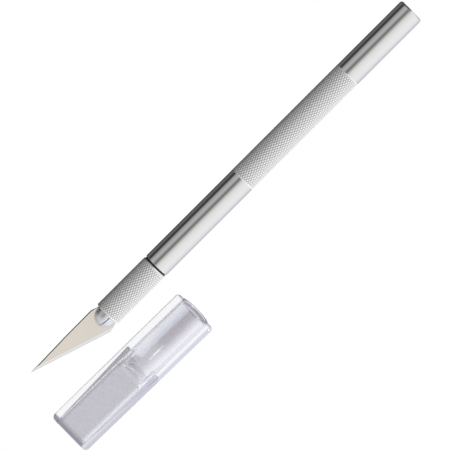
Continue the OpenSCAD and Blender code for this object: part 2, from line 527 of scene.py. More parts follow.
def knurled_metal(name, colour):
    """Knurled metal: the crests are polished by use, and the grooves are duller, with painted shade
    darkening them.
    """
    made, nodes, shader = material(name)
    axes = nodes.add("ShaderNodeSeparateXYZ", {0: nodes.stretched((1, 1, 1))}).outputs
    crest = nodes.add("ShaderNodeMapRange", {"Value": nodes.length(axes[1], axes[2]),
                                             "From Min": CREST_R - KNURL_DEPTH,
                                             "From Max": CREST_R - 0.02}).outputs[0]
    grain = nodes.noise(nodes.stretched((6, 6, 6)), 3)
    polish = nodes.math("MULTIPLY", crest, -0.05)
    # Painted shade: the grooves take less than half the metal's colour, for the shade that falls in
    # them.
    dress(nodes, shader, Metallic=0.3, Base_Color=nodes.mix(crest, shade(colour, 0.42), colour),
          Specular_IOR_Level=0.0,
          Roughness=nodes.math("ADD", nodes.spread(grain, 0.40, 0.50), polish),
          Normal=nodes.bump(grain, 0.004, 0.3))
    return made


def steel(name, colour, roughness, grain_turn, scale, marks):
    """Ground steel: fine parallel scratches, turned in the blade's plane."""
    made, nodes, shader = material(name)
    place = nodes.add("ShaderNodeVectorRotate", {"Vector": nodes.place(), "Angle": grain_turn},
                      rotation_type="Z_AXIS").outputs[0]
    scratches = nodes.noise(nodes.stretched(scale, place), 3, 0.6)
    patches = nodes.noise(nodes.stretched((0.25, 0.25, 0.25)), 2)
    dress(nodes, shader, Metallic=1.0, Base_Color=nodes.mix(patches, shade(colour, 0.95), colour),
          Roughness=nodes.spread(scratches, roughness * 0.8, roughness * 1.2),
          Normal=nodes.bump(scratches, marks, 0.5))
    return made


def cap_frame():
    """Matrix from the cap's own frame, in metres, to its place in the row, from its mount."""
    mount = next(m for m in frame["record"]["mounts"] if m["name"] == "cap_socket")
    along = Vector(mount["axis"]).normalized()
    across = Vector((0, 0, 1)).cross(along).normalized()
    up = along.cross(across)
    start = Vector(mount["pos_m"]) - along * (CAP_LENGTH - SOCKET_DEPTH / 2) * MM
    turn = Matrix((along, across, up)).transposed().to_4x4()
    return Matrix.Translation(start) @ turn


def cap_place(nodes):
    """Distance from the cap's closed end, across it and up from its middle, in millimetres."""
    place = nodes.place()
    out = []
    for row in cap_frame().inverted()[:3]:
        along = nodes.add("ShaderNodeVectorMath", {0: place, 1: tuple(row[:3])},
                          operation="DOT_PRODUCT").outputs["Value"]
        out.append(nodes.math("MULTIPLY_ADD", along, 1 / MM, row[3] / MM))
    return out


def clear_plastic(name, painted_light, roughness, grain, milky=0.0):
    """Moulded clear plastic, whose colour carries painted shade and highlights. A larger roughness
    and a milky part give the frosted flats.

    Lamps shine through it, and metal doesn't mirror it.
    """
    made, nodes, shader = material(name)
    texture = nodes.noise(nodes.stretched((grain, grain, grain)), 3)
    dress(nodes, shader, Transmission_Weight=1.0 - milky, IOR=1.49, Base_Color=painted_light(nodes),
          Roughness=nodes.spread(texture, roughness * 0.8, roughness * 1.2),
          Normal=nodes.bump(texture, 0.0002, 0.3))
    path = nodes.light_path()
    outside = nodes.math("LESS_THAN", path["Transmission Depth"], ONE_PASS)
    mirrored = nodes.math("MULTIPLY", path["Is Glossy Ray"], outside)
    unseen = nodes.math("MAXIMUM", path["Is Diffuse Ray"], mirrored)
    open_air = nodes.add("ShaderNodeBsdfTransparent").outputs[0]
    both = nodes.add("ShaderNodeMixShader", {0: unseen, 1: shader.outputs[0], 2: open_air})
    nodes.feed(made.node_tree.nodes["Material Output"].inputs["Surface"], both.outputs[0])
    return made


# Where the cap's painted shade and highlights change: start and end of each change, in millimetres.
# U is measured from the closed end, V across the cap and W up from its middle. The near side is at
# negative V.
SHELL_U_END, SHELL_U_SLOT, SHELL_U_RIM = (1.6, 1.4), (30.2, 28.6), (50.3, 50.5)
SHELL_V_END, SHELL_V_WING, SHELL_V_FAR = (-5.2, -4.8), (-5.6, -6.2), (6.7, 6.85)
SLOT_V_NEAR, SLOT_V_FAR = (-5.0, -5.1), (4.6, 4.85)
FLAT_U_END, FLAT_U_RAMP = (1.7, 1.5), (23.4, 25.5)
FLAT_V_PALE, FLAT_V_GLINT, FLAT_V_DARK = (-3.4, -4.3), (-4.35, -4.5), (3.4, 4.7)
ARC_REACH, ARC_U, ARC_V = (CAP_R - 0.34, CAP_R - 0.22), (25.2, 25.8), (-1.5, 0.5)
SHADE_U_ENDS, SHADE_U_GROWS, SHADE_THIN = (26.6, 25.4), (34.0, 39.0), 0.75
ROOT_U_FROM, ROOT_U_TO, ROOT_V_FROM, ROOT_V_TO = (25.9, 26.5), (30.0, 28.8), (0.8, 1.6), (3.7, 3.0)
GLINT_U, GLINT_U_REACH, GLINT_V, GLINT_V_REACH = 34.7, (2.3, 1.9), -0.7, (0.3, 0.1)
LIP_U, LIP_U_FAR, LIP_W = (49.5, 49.7), (50.45, 50.6), (0.5, -0.5)
WHITE, PALE = (1.0, 1.0, 1.0), (0.97, 0.97, 0.99)

# Painted shade: a dark streak along the top of the socket, by distance across the cap in
# millimetres
SHADE_STREAK = [
    (-4.1, (0.99, 0.99, 1.0)), (-3.4, (0.93, 0.93, 0.98)), (-2.7, (0.81, 0.80, 0.86)),
    (-2.0, (0.67, 0.655, 0.69)), (-1.3, (0.55, 0.53, 0.555)), (-0.5, (0.47, 0.455, 0.48)),
    (1.0, (0.455, 0.44, 0.465)), (1.6, (0.59, 0.59, 0.635)), (2.8, (0.73, 0.75, 0.82)),
    (3.6, (0.82, 0.84, 0.90)), (3.95, (1.0, 1.0, 1.0))
]


def shell_painted_shade(nodes):
    """Clear shell with painted shade: greyer beside the blade's slot, along both wings and at both
    ends.
    """
    u, v, _ = cap_place(nodes)
    by_slot = nodes.step(u, *SHELL_U_SLOT)
    beside = nodes.all_of(nodes.step(v, *SLOT_V_NEAR), by_slot)
    painted_light = nodes.mix(beside, (0.99, 0.99, 1.0), (0.74, 0.755, 0.79))
    wing = nodes.mix(by_slot, (0.68, 0.70, 0.79), (0.60, 0.59, 0.68))
    painted_light = nodes.mix(nodes.step(v, *SHELL_V_WING), painted_light, wing)
    painted_light = nodes.mix(nodes.step(v, *SHELL_V_FAR), painted_light, (0.4, 0.4, 0.42))
    painted_light = nodes.mix(nodes.step(u, *SHELL_U_RIM), painted_light, (0.66, 0.66, 0.75))
    end = nodes.all_of(nodes.step(u, *SHELL_U_END), nodes.step(v, *SHELL_V_END))
    return nodes.mix(end, painted_light, (0.30, 0.30, 0.36))


def flat_painted_light(nodes):
    """Frosted flats, grey with painted shade: paler up the ramp, with a painted white highlight
    along the near edge and painted shade along the far one.

    The ramp's arc has a painted white highlight on its far half, and the closed end has painted
    shade.
    """
    u, v, w = cap_place(nodes)
    painted_light = nodes.mix(nodes.step(u, *FLAT_U_RAMP), (0.61, 0.597, 0.625), (0.685, 0.67, 0.71))
    painted_light = nodes.mix(nodes.step(v, *FLAT_V_DARK), painted_light, (0.46, 0.455, 0.49))
    painted_light = nodes.mix(nodes.step(v, *FLAT_V_PALE), painted_light, (0.78, 0.78, 0.85))
    painted_light = nodes.mix(nodes.step(v, *FLAT_V_GLINT), painted_light, WHITE)
    arc = nodes.all_of(nodes.step(nodes.length(v, w), *ARC_REACH), nodes.step(u, *ARC_U),
                       nodes.step(v, *ARC_V))
    painted_light = nodes.mix(arc, painted_light, WHITE)
    return nodes.mix(nodes.step(u, *FLAT_U_END), painted_light, (0.34, 0.33, 0.38))


def slot_painted_shade(nodes):
    """Walls of the blade's slot, with painted shade: greyer at the near side and dark at the far
    side.
    """
    v = cap_place(nodes)[1]
    painted_light = nodes.mix(nodes.step(v, *SLOT_V_FAR), (0.95, 0.95, 0.97), (0.40, 0.40, 0.43))
    return nodes.mix(nodes.step(v, *SLOT_V_NEAR), painted_light, (0.80, 0.80, 0.87))


def bore_painted_light(nodes):
    """Walls of the socket, with painted light: a streak of painted shade along the top with a
    painted highlight in it, and painted shade at the root and along the lip.
    """
    u, v, w = cap_place(nodes)
    across = nodes.math("MULTIPLY_ADD", v, 0.5 / SOCKET_R, 0.5)
    shade_streak = nodes.add("ShaderNodeValToRGB", {"Fac": across})
    set_stops(shade_streak.color_ramp, [(0.5 + 0.5 * place / SOCKET_R, colour)
                                for place, colour in SHADE_STREAK])
    grown = nodes.math("MULTIPLY_ADD", nodes.step(u, *SHADE_U_GROWS), 1 - SHADE_THIN, SHADE_THIN)
    painted_light = nodes.mix(grown, PALE, shade_streak.outputs[0])
    glint = nodes.all_of(nodes.step(nodes.away(v, GLINT_V), *GLINT_V_REACH),
                         nodes.step(nodes.away(u, GLINT_U), *GLINT_U_REACH))
    painted_light = nodes.mix(glint, painted_light, PALE)
    painted_light = nodes.mix(nodes.step(u, *SHADE_U_ENDS), painted_light, PALE)
    root = nodes.all_of(nodes.step(u, *ROOT_U_FROM), nodes.step(u, *ROOT_U_TO),
                        nodes.step(v, *ROOT_V_FROM), nodes.step(v, *ROOT_V_TO))
    painted_light = nodes.mix(root, painted_light, (0.40, 0.39, 0.43))
    lip = nodes.all_of(nodes.step(w, *LIP_W), nodes.step(u, *LIP_U))
    lip_shade = nodes.mix(nodes.step(u, *LIP_U_FAR), (0.16, 0.155, 0.17), (0.6, 0.6, 0.7))
    return nodes.mix(lip, painted_light, lip_shade)


def cap_materials():
    """The cap's finishes: clear shell, frosted flats, slot walls and socket walls, all with painted
    shade, and with painted highlights on the flats and the socket walls.
    """
    return [
        clear_plastic("clear_plastic", shell_painted_shade, 0.02, 0.8),
        clear_plastic("frosted_plastic", flat_painted_light, 0.13, 0.8, milky=0.3),
        clear_plastic("slot_plastic", slot_painted_shade, 0.15, 3),
        clear_plastic("bore_plastic", bore_painted_light, 0.06, 3)
    ]


SHELL, FLAT, SLOTTED, BORED = range(4)
BEVEL_GRAIN = math.radians(-19)
ALUMINIUM = turned_metal("handle_aluminium", (0.88, 0.88, 0.885), 0.10, 0.002)
KNURL = knurled_metal("knurled_aluminium", (0.91, 0.91, 0.912))
POLISHED = turned_metal("collet_aluminium", (0.90, 0.905, 0.94), 0.34, 0.0003)
# Painted shade: the bores inside the handle and the collar are a darker aluminium than the outside.
SHADED_BORE = turned_metal("bore_painted_shade", (0.45, 0.45, 0.46), 0.4, 0.01)
SHADOW = turned_metal("groove_shadow", (0.05, 0.05, 0.052), 0.5, 0.01)
BLADE_FACE = steel("blade_steel", (0.83, 0.77, 0.695), 0.34, 0.0, (0.4, 14, 14), 0.001)
BLADE_GRIND = steel("blade_grind", (0.86, 0.86, 0.86), 0.30, BEVEL_GRAIN, (14, 0.5, 0.5), 0.0004)
BLADE_EDGE = steel("blade_edge", (0.50, 0.51, 0.53), 0.5, BEVEL_GRAIN, (10, 0.5, 0.5), 0.0004)
BLADE_BACK = steel("blade_back", (0.50, 0.50, 0.50), 0.35, 0.0, (0.5, 10, 10), 0.001)
# Painted shade: the rounds along the blade's spine are painted nearly black steel.
SPINE_SHADE = turned_metal("blade_spine_painted_shade", (0.03, 0.03, 0.032), 0.5, 0.001)


# ---------------------------------------------------------------------------
# Turned pieces
# ---------------------------------------------------------------------------
def handle():
    """Handle: smooth ends, knurled band, register boss and the blind hole for the stem."""
    smooth_skin, knurled, bored, groove = range(4)
    bore_end = REGISTER_FACE + STEM_BORE_DEPTH
    rear = round_corners([
        (REAR, AXIS_R), (REAR, HANDLE_R - REAR_CHAMFER), (REAR - REAR_CHAMFER, HANDLE_R),
        (REAR - REAR_CHAMFER - GUARD_FAR, HANDLE_R), (BAND_REAR + GUARD_MID, HANDLE_R),
        (BAND_REAR + GUARD_NEAR, HANDLE_R)
    ], REAR_ROUND)
    front = round_corners([
        (BAND_FRONT - GUARD_NEAR, HANDLE_R), (BAND_FRONT - GUARD_MID, HANDLE_R),
        (HANDLE_FRONT + GUARD_FAR, HANDLE_R), (HANDLE_FRONT + FRONT_CHAMFER, HANDLE_R),
        (HANDLE_FRONT, HANDLE_R - FRONT_CHAMFER), (HANDLE_FRONT, REGISTER_R),
        (REGISTER_FACE, REGISTER_R), (REGISTER_FACE, STEM_BORE_R), (bore_end, STEM_BORE_R),
        (bore_end + DRILL_POINT, AXIS_R)
    ], FRONT_ROUND)
    rows = [plain_row(*p) for p in rear]
    rows += knurled_rows(BAND_REAR, BAND_FRONT)
    rows += [plain_row(*p) for p in front]

    def slot_of(a, b):
        """Finish of the faces between two rows."""
        if a["knurl"] and b["knurl"]:
            return knurled
        largest = max(a["r"][0], b["r"][0])
        if b["x"] > BAND_FRONT:
            return smooth_skin
        if largest < STEM_BORE_R + 10 * TOUCH:
            return bored
        in_front = min(a["x"], b["x"]) < HANDLE_FRONT - TOUCH
        below_edge = largest < HANDLE_R - FRONT_CHAMFER - TOUCH
        return groove if in_front or below_edge else smooth_skin

    return turned("handle_body", rows, [ALUMINIUM, KNURL, SHADED_BORE, SHADOW], slot_of)


def collar():
    """Collar: knurled over its length, with a tapered mouth and a keyed hole at the rear."""
    knurled, plain, bored = range(3)
    bore = JAW_R + BORE_GAP
    mouth = NOSE_R + BORE_GAP
    key = KEY_HALF + BORE_GAP
    key_front = KEY_REAR - KEY_LENGTH
    rows = [plain_row(COLLAR_REAR, CREST_R - COLLAR_CHAMFER)]
    rows += knurled_rows(COLLAR_REAR - COLLAR_CHAMFER, COLLAR_FRONT + COLLAR_CHAMFER)
    rows += [
        plain_row(COLLAR_FRONT, CREST_R - COLLAR_CHAMFER),
        plain_row(COLLAR_FRONT, mouth + LIP_CHAMFER),
        plain_row(COLLAR_FRONT + LIP_CHAMFER, mouth),
        plain_row(COLLAR_FRONT + TAPER_LENGTH, bore), plain_row(key_front, bore),
        keyed_row(key_front, bore, key), keyed_row(COLLAR_REAR, bore, key)
    ]

    def slot_of(a, b):
        """Finish of the faces between two rows."""
        if a["knurl"] and b["knurl"]:
            return knurled
        return bored if max(a["r"][0], b["r"][0]) < mouth + TOUCH else plain

    return turned("collar_body", rows, [KNURL, ALUMINIUM, SHADED_BORE], slot_of, closed=True)


def collet():
    """Collet: stem, keyed shank, jaws split by two crossed slits, and the domed nose."""
    key_front = KEY_REAR - KEY_LENGTH - KEY_SPARE
    rows = [plain_row(*p) for p in round_corners([
        (STEM_REAR, AXIS_R), (STEM_REAR, STEM_R - STEM_CHAMFER),
        (STEM_REAR - STEM_CHAMFER, STEM_R), (KEY_REAR, STEM_R)
    ], STEM_ROUND)]
    rows += [
        keyed_row(KEY_REAR, JAW_R, KEY_HALF), keyed_row(key_front, JAW_R, KEY_HALF),
        plain_row(key_front, JAW_R), plain_row(COLLAR_FRONT + TAPER_LENGTH, JAW_R),
        plain_row(COLLAR_FRONT, NOSE_R - NOSE_STEP)
    ]
    for i in range(NOSE_STEPS + 1):
        lean = i / NOSE_STEPS * math.pi / 2
        reach, radius = NOSE_R * math.sin(lean), NOSE_R * math.cos(lean)
        rows.append(plain_row(NOSE_CENTRE - reach, max(radius, NOSE_POINT_R)))
    obj = turned("collet_body", rows, [POLISHED], lambda a, b: 0)
    front = NOSE_TIP - SLIT_AHEAD
    cutters = [
        block((front, -SLIT_REACH, -BLADE_SLIT / 2), (BLADE_SLIT_REAR, SLIT_REACH, BLADE_SLIT / 2)),
        block((front, -JAW_SLIT / 2, -SLIT_REACH), (JAW_SLIT_REAR, JAW_SLIT / 2, SLIT_REACH)),
    ]
    for cutter in cutters:
        cutter.matrix_world = Matrix.Rotation(ROLL, 4, "X")
        boolean(obj, cutter, "DIFFERENCE")
    smooth(obj, 30)
    return obj


# ---------------------------------------------------------------------------
# Blade
# ---------------------------------------------------------------------------
def heel_point(lean):
    """A point of the heel's round, by the angle its outward direction leans forward."""
    return HEEL_X - HEEL_R * math.sin(lean), HEEL_R - HEEL_Y - HEEL_R * math.cos(lean)


def blade_outline(edge_angle):
    """Outline of the blade: tip, spine, shoulder, tang, and the heel's round last."""
    cut_x, cut_y = SHOULDER_X - SHOULDER_CUT[0], TANG_HALF + SHOULDER_CUT[1]
    outline = [(BLADE_TIP, TIP_Y), (BLADE_TIP + SPINE_BEND[0], SPINE_Y - SPINE_BEND[1])]
    outline += [(COLLAR_FRONT - ahead, SPINE_Y - drop) for ahead, drop in SHOULDER_ROUND]
    outline += [
        (cut_x, cut_y), (SHOULDER_X, TANG_HALF),
        (TANG_REAR - TANG_CORNER, TANG_HALF), (TANG_REAR, TANG_HALF - TANG_CORNER),
        (TANG_REAR, TANG_CORNER - TANG_HALF), (TANG_REAR - TANG_CORNER, -TANG_HALF),
        (SHOULDER_X, -TANG_HALF), (cut_x, -cut_y)
    ]
    sweep = edge_angle + HEEL_BACK
    return outline + [heel_point(-HEEL_BACK + sweep * i / HEEL_STEPS)
                      for i in range(HEEL_STEPS + 1)]


def blade():
    """Pointed blade with a ground bevel, a finer bevel at the very edge and a plain tang."""
    face_slot, grind_slot, edge_slot, round_slot, back_slot = range(5)
    run, rise = HEEL_X - BLADE_TIP, TIP_Y + HEEL_Y - HEEL_R
    edge_angle = math.atan2(rise, run) + math.asin(HEEL_R / math.hypot(run, rise))
    outline = blade_outline(edge_angle)
    inward = Vector((math.sin(edge_angle), math.cos(edge_angle)))
    heel = Vector(outline[-1])
    half = BLADE_T / 2
    thin = EDGE_T / 2
    micro_half = thin + (half - thin) * MICRO_W / BEVEL_W * MICRO_FULLNESS

    def above(point):
        """Distance of a point of the outline from the straight cutting edge."""
        return (Vector(point) - heel).dot(inward)

    def ground_half(point):
        """Half thickness of the ground blade at a point of its outline."""
        height = above(point)
        if height >= BEVEL_W:
            return half
        if height >= MICRO_W:
            return micro_half + (half - micro_half) * (height - MICRO_W) / (BEVEL_W - MICRO_W)
        return thin + (micro_half - thin) * max(0.0, height) / MICRO_W

    def crossing(a, b, level):
        """Where the outline's side from a to b meets a line parallel to the edge."""
        return tuple(Vector(a).lerp(Vector(b), (level - above(a)) / (above(b) - above(a))))

    refined = []
    for point, after in zip(outline, outline[1:] + outline[:1]):
        low, high = sorted((above(point), above(after)))
        cuts = sorted((level for level in (MICRO_W, BEVEL_W) if low + TINY < level < high - TINY),
                      reverse=above(point) > above(after))
        refined += [point] + [crossing(point, after, level) for level in cuts]

    bm = bmesh.new()
    upper, lower = ([bm.verts.new((p[0], p[1], side * ground_half(p))) for p in refined]
                    for side in (1, -1))
    for i, point in enumerate(refined):
        k = (i + 1) % len(refined)
        wall = bm.faces.new((upper[i], upper[k], lower[k], lower[i]))
        on_back = (point[1] + refined[k][1]) / 2 > TIP_Y - TOUCH and point[0] < SHOULDER_X
        wall.material_index = back_slot if on_back else face_slot
    bands = ((-math.inf, MICRO_W, edge_slot), (MICRO_W, BEVEL_W, grind_slot),
             (BEVEL_W, math.inf, face_slot))
    for rim, order in ((upper, 1), (lower, -1)):
        for low, high, slot in bands:
            loop = [vert for vert, point in zip(rim, refined)
                    if low - 10 * TINY <= above(point) <= high + 10 * TINY]
            bm.faces.new(loop[::order]).material_index = slot
    bmesh.ops.recalc_face_normals(bm, faces=bm.faces)

    def borders_back(edge):
        """Whether an edge runs between the spine's wall and another face."""
        return len({face.material_index == back_slot for face in edge.link_faces}) == 2

    bent = [e for e in bm.edges if len(e.link_faces) == 2 and e.calc_face_angle(0) > BENT_EDGE
            and min(v.co.x for v in e.verts) > BLADE_TIP + SHARP_TIP]
    spine_edges = [e for e in bent if borders_back(e)]
    other_edges = [e for e in bent if not borders_back(e)]
    bmesh.ops.bevel(bm, geom=other_edges, offset=BROKEN_EDGE, segments=2, affect="EDGES",
                    clamp_overlap=True)
    bmesh.ops.bevel(bm, geom=[e for e in spine_edges if e.is_valid], offset=SPINE_ROUND,
                    segments=2, affect="EDGES", clamp_overlap=True, material=round_slot)
    place = Matrix.Scale(MM, 4) @ Matrix.Rotation(ROLL, 4, "X")
    bmesh.ops.transform(bm, matrix=place, verts=bm.verts)
    obj = piece_from_bm("blade_body", bm, [BLADE_FACE, BLADE_GRIND, BLADE_EDGE, SPINE_SHADE, BLADE_BACK])
    smooth(obj, 8)
    for face in obj.data.polygons:
        face.use_smooth = face.material_index == round_slot or face.area < SMALL_FACE * MM * MM
    return obj


# ---------------------------------------------------------------------------
# Safety cap, in its own frame: u from the closed end, v across it, w up from its middle
# ---------------------------------------------------------------------------
def soft_min(a, b, k):
    """Smaller of two heights, blended over a distance."""
    h = np.clip(0.5 + 0.5 * (b - a) / k, 0, 1)
    return b * (1 - h) + a * h - k * h * (1 - h)


def soft_max(a, b, k):
    """Larger of two heights, blended over a distance."""
    return -soft_min(-a, -b, k)


def edge_round(distance, radius):
    """How far a rounded edge drops, at a distance in from the side."""
    d = np.clip(radius - distance, 0, radius)
    return radius - np.sqrt(radius * radius - d * d)


def quarter(start, end, count):
    """Evenly spaced angles between two quarter turns, for rows that bunch up at a round."""
    return np.linspace(start * math.pi / 2, end * math.pi / 2, count)


def cap_half_width(u):
    """Half width of the cap's outline at a distance from the closed end."""
    straight = CAP_HALF + (MOUTH_HALF - CAP_HALF) * u / CAP_LENGTH
    return straight - edge_round(u, END_CORNER) - edge_round(CAP_LENGTH - u, MOUTH_CORNER)


def ramp_height(u):
    """Height of the ramp between the frosted flat and the tube, run on at both ends."""
    return FLAT_HALF + RAMP_SLOPE * (u - RAMP_START)


def cap_height(u, v):
    """Height of the cap's outer face above its middle plane."""
    half = cap_half_width(u)
    tube = np.sqrt(np.maximum(CAP_R ** 2 - v * v, 0))
    flat = soft_max(np.full_like(u, FLAT_HALF), ramp_height(u), RAMP_BLEND)
    body = soft_min(tube, flat, TUBE_BLEND)
    slab = WING_T / 2 - edge_round(half - np.abs(v), EDGE_ROUND)
    height = soft_max(body, slab, WING_BLEND)
    height = height - edge_round(u, END_ROUND) * height / END_ROUND
    return height - edge_round(CAP_LENGTH - u, MOUTH_ROUND)


def cap_stations():
    """Distances from the closed end, closer together at the round ends and on the ramp."""
    end = END_ROUND * (1 - np.cos(quarter(0, 1, 18)))
    # Start, stop and number of stations of each even run
    runs = ((2.2, RAMP_START - 1, 24), (RAMP_START - 0.85, 29, 44), (30, CAP_LENGTH - 1.8, 20))
    middle = [np.linspace(start, stop, count) for start, stop, count in runs]
    mouth = CAP_LENGTH - MOUTH_CORNER * (1 - np.cos(quarter(1, 0, 14)))
    return np.concatenate([end, *middle, mouth])


def cap_columns(u):
    """Places across the cap, evenly spaced round the tube and closer together at the rim."""
    tube = CAP_R * np.sin(np.linspace(0, TUBE_ARC, 24))
    wall = np.linspace(tube[-1], WALL_FOOT, 36)[1:]
    rim = cap_half_width(u) - EDGE_ROUND * (1 - np.sin(quarter(0, 1, 13)))
    side = np.concatenate([tube, wall, rim])
    return np.concatenate([-side[:0:-1], side])


def cap_shell(materials):
    """Closed outer surface of the cap."""
    stations = cap_stations()
    v = np.stack([cap_columns(u) for u in stations])
    rows, columns = v.shape
    u = np.repeat(stations[:, None], columns, axis=1)
    w = cap_height(u, v)
    top = np.stack([u, v, w], axis=-1).reshape(-1, 3)
    bottom = np.stack([u, v, -w], axis=-1).reshape(-1, 3)
    offset = rows * columns
    flat_top = (w > FLAT_HALF - FLAT_DIP) & (u < RAMP_START + RAMP_RUN) & (np.abs(v) < FLAT_SIDE)
    low_enough = w < np.maximum(FLAT_HALF, ramp_height(u)) + FLAT_LIFT
    faces, slots = [], []
    for i in range(rows - 1):
        for j in range(columns - 1):
            a, b = i * columns + j, i * columns + j + 1
            c, d = b + columns, a + columns
            on_flat = flat_top[i, j] and flat_top[i + 1, j + 1] and low_enough[i, j]
            faces += [(a, d, c, b), (a + offset, b + offset, c + offset, d + offset)]
            slots += [FLAT if on_flat else SHELL] * 2
    border = list(range(columns))
    border += [i * columns + columns - 1 for i in range(1, rows)]
    border += [(rows - 1) * columns + j for j in range(columns - 2, -1, -1)]
    border += [i * columns for i in range(rows - 2, 0, -1)]
    for a, b in zip(border, border[1:] + border[:1]):
        faces.append((a, b, b + offset, a + offset))
        slots.append(SHELL)
    return piece_from("safety_cap_body", np.concatenate([top, bottom]), faces, materials, slots, 50)


def hollow_half(u):
    """Half height of the hollow over its middle: the slot, the ramp and the socket."""
    return max(SLOT_T / 2 + (u - ROOM_START) * RAMP_SLOPE, SLOT_T / 2)


def hollow_radius(u):
    """Radius of the round wall: the nose's room, a soft ledge, the socket and its mouth."""
    ledge = np.clip((u - SOCKET_FLOOR + LEDGE_LEAD) / LEDGE_LENGTH, 0, 1)
    ledge = ledge * ledge * (3 - 2 * ledge)
    mouth = np.clip((u - CAP_LENGTH + FLARE_DEPTH) / FLARE_DEPTH, 0, 1)
    return ROOM_R + (SOCKET_R - ROOM_R) * ledge + SOCKET_FLARE * mouth * mouth


def cap_room(materials):
    """Tool for the round hollow, which runs out past the mouth."""
    # Start, stop and number of rows of each even run
    runs = (
        (ROOM_START - 0.6, ROOM_START, 3), (ROOM_START + 0.12, 28.2, 34),
        (28.5, SOCKET_FLOOR + 3, 16), (SOCKET_FLOOR + 4, CAP_LENGTH - 0.5, 17),
        (CAP_LENGTH - FLARE_DEPTH, CAP_LENGTH, 6), (CAP_LENGTH + 0.4, CAP_LENGTH + 0.4, 1)
    )
    stations = np.concatenate([np.linspace(start, stop, rows) for start, stop, rows in runs])
    count = ROOM_AROUND
    angles = (np.arange(count) + 0.5) * 2 * math.pi / count
    points = []
    for u in stations:
        r = hollow_radius(u)
        w = r * np.sin(angles)
        top = np.full(count, hollow_half(u) - ROOM_STEP)
        w = np.sign(w) * soft_min(np.abs(w), top, ROOM_BLEND)
        points += [(u, across, up) for across, up in zip(r * np.cos(angles), w)]
    faces = []
    for i in range(len(stations) - 1):
        for j in range(count):
            k = (j + 1) % count
            faces.append((i * count + j, (i + 1) * count + j, (i + 1) * count + k, i * count + k))
    faces.append(list(range(count)))
    faces.append([(len(stations) - 1) * count + j for j in range(count)][::-1])
    return piece_from("cavity", points, faces, materials, [BORED] * len(faces))


def cap_slot(materials):
    """Tool for the thin slot that takes the blade, narrower towards the closed end."""
    bm = bmesh.new()
    half = SLOT_T / 2
    root = SOCKET_FLOOR - SLOT_STEP
    outline = [(END_WALL, -SLOT_END_HALF), (END_WALL, SLOT_END_HALF),
               (root, SLOT_ROOT_HALF), (root, -SLOT_ROOT_HALF)]
    low = [bm.verts.new((x, y, -half)) for x, y in outline]
    high = [bm.verts.new((x, y, half)) for x, y in outline]
    bm.faces.new(low)
    bm.faces.new(high[::-1])
    for i in range(4):
        bm.faces.new((low[i], high[i], high[(i + 1) % 4], low[(i + 1) % 4]))
    bmesh.ops.recalc_face_normals(bm, faces=bm.faces)
    bmesh.ops.bevel(bm, geom=bm.edges[:], offset=SLOT_ROUND, segments=3, affect="EDGES")
    for face in bm.faces:
        face.material_index = SLOTTED
    bmesh.ops.scale(bm, vec=(MM, MM, MM), verts=bm.verts)
    return piece_from_bm("slot", bm, materials)


def safety_cap():
    """Clear cap: winged tube with frosted flats and a hollow for the collar and the blade."""
    materials = cap_materials()
    obj = cap_shell(materials)
    hollow = cap_room(materials)
    boolean(hollow, cap_slot(materials), "UNION")
    boolean(obj, hollow, "DIFFERENCE")
    obj.data.transform(cap_frame())
    smooth(obj, 50)
    return obj


# ---------------------------------------------------------------------------
# Pieces on their bodies
# ---------------------------------------------------------------------------
for make, node in ((handle, "handle"), (collar, "collar"), (collet, "collet"),
                   (blade, "blade"), (safety_cap, "safety_cap")):
    piece = make()
    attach(piece, node)
    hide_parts(node)


# ---------------------------------------------------------------------------
# Studio: pale floor, soft light and camera
# ---------------------------------------------------------------------------
# What metal reflects, by the direction round the knife's axis, in degrees from straight up
# and positive on the spine's side: white panels, a gap between two of them, and dark edges.
STUDIO = [
    (-180, (0.62, 0.63, 0.66)), (-131, (0.64, 0.65, 0.68)), (-112, (0.84, 0.85, 0.88)),
    (-90, (0.92, 0.925, 0.95)), (-60, (0.93, 0.93, 0.94)), (-35, (0.885, 0.88, 0.865)),
    (-17, (0.82, 0.805, 0.775)), (-8, (0.74, 0.73, 0.71)), (6, (0.41, 0.405, 0.40)),
    (15, (0.19, 0.19, 0.195)), (23, (0.19, 0.19, 0.195)), (33, (0.42, 0.42, 0.42)),
    (47, (0.50, 0.495, 0.49)), (67, (0.36, 0.36, 0.36)), (81, (0.06, 0.06, 0.065)),
    (92, (0.035, 0.036, 0.042)), (108, (0.12, 0.12, 0.125)), (119, (0.18, 0.18, 0.185)),
    (135, (0.09, 0.09, 0.09)), (150, (0.045, 0.045, 0.045)), (180, (0.06, 0.06, 0.06))
]
PAPER_THROUGH_PLASTIC = (0.96, 0.96, 0.98)
STUDIO_THROUGH_PLASTIC = (0.86, 0.86, 0.90)
STUDIO_AHEAD = (0.70, 0.72, 0.77)
STUDIO_SOFT = (0.93, 0.93, 0.94)

# The panel straight ahead of the knife: where it starts and is full, and how much of it shows
AHEAD_FROM, AHEAD_FULL, AHEAD_PART = -0.4, -0.85, 0.8

# What lights dull surfaces: level straight up, fall towards the spine's side, and both limits
SIDE_LIGHT, SIDE_FALL, SIDE_LEAST, SIDE_MOST = 0.54, 0.84, 0.08, 0.92

# Floor, in metres: half its width, and its distance below the table's height
FLOOR_HALF = 3.0
FLOOR_DROP = 0.00002

# Lamps: their width, and each lamp's place and target in metres and its power in watts
LAMP_W = 0.5
KEY_PLACE, KEY_TARGET, KEY_POWER = (-0.08, -0.62, 0.7), (-0.08, 0, 0), 5.2
GLINT_PLACE, GLINT_TARGET, GLINT_POWER = (-0.09, -0.75, 0.75), (-0.09, -0.02, 0), 16.0

# Camera: aim from the middle of the CAD's box and width of the view, in millimetres, then its
# distance in metres, its lean off straight down, the up direction and the sensor's width
AIM_X, AIM_Y, VIEW_W = -3.0707, 3.9196, 127.3
VIEW_DISTANCE = 1.385
VIEW_LEAN = math.radians(3.3)
VIEW_UP = (1, 1, 0)
SENSOR_W = 36


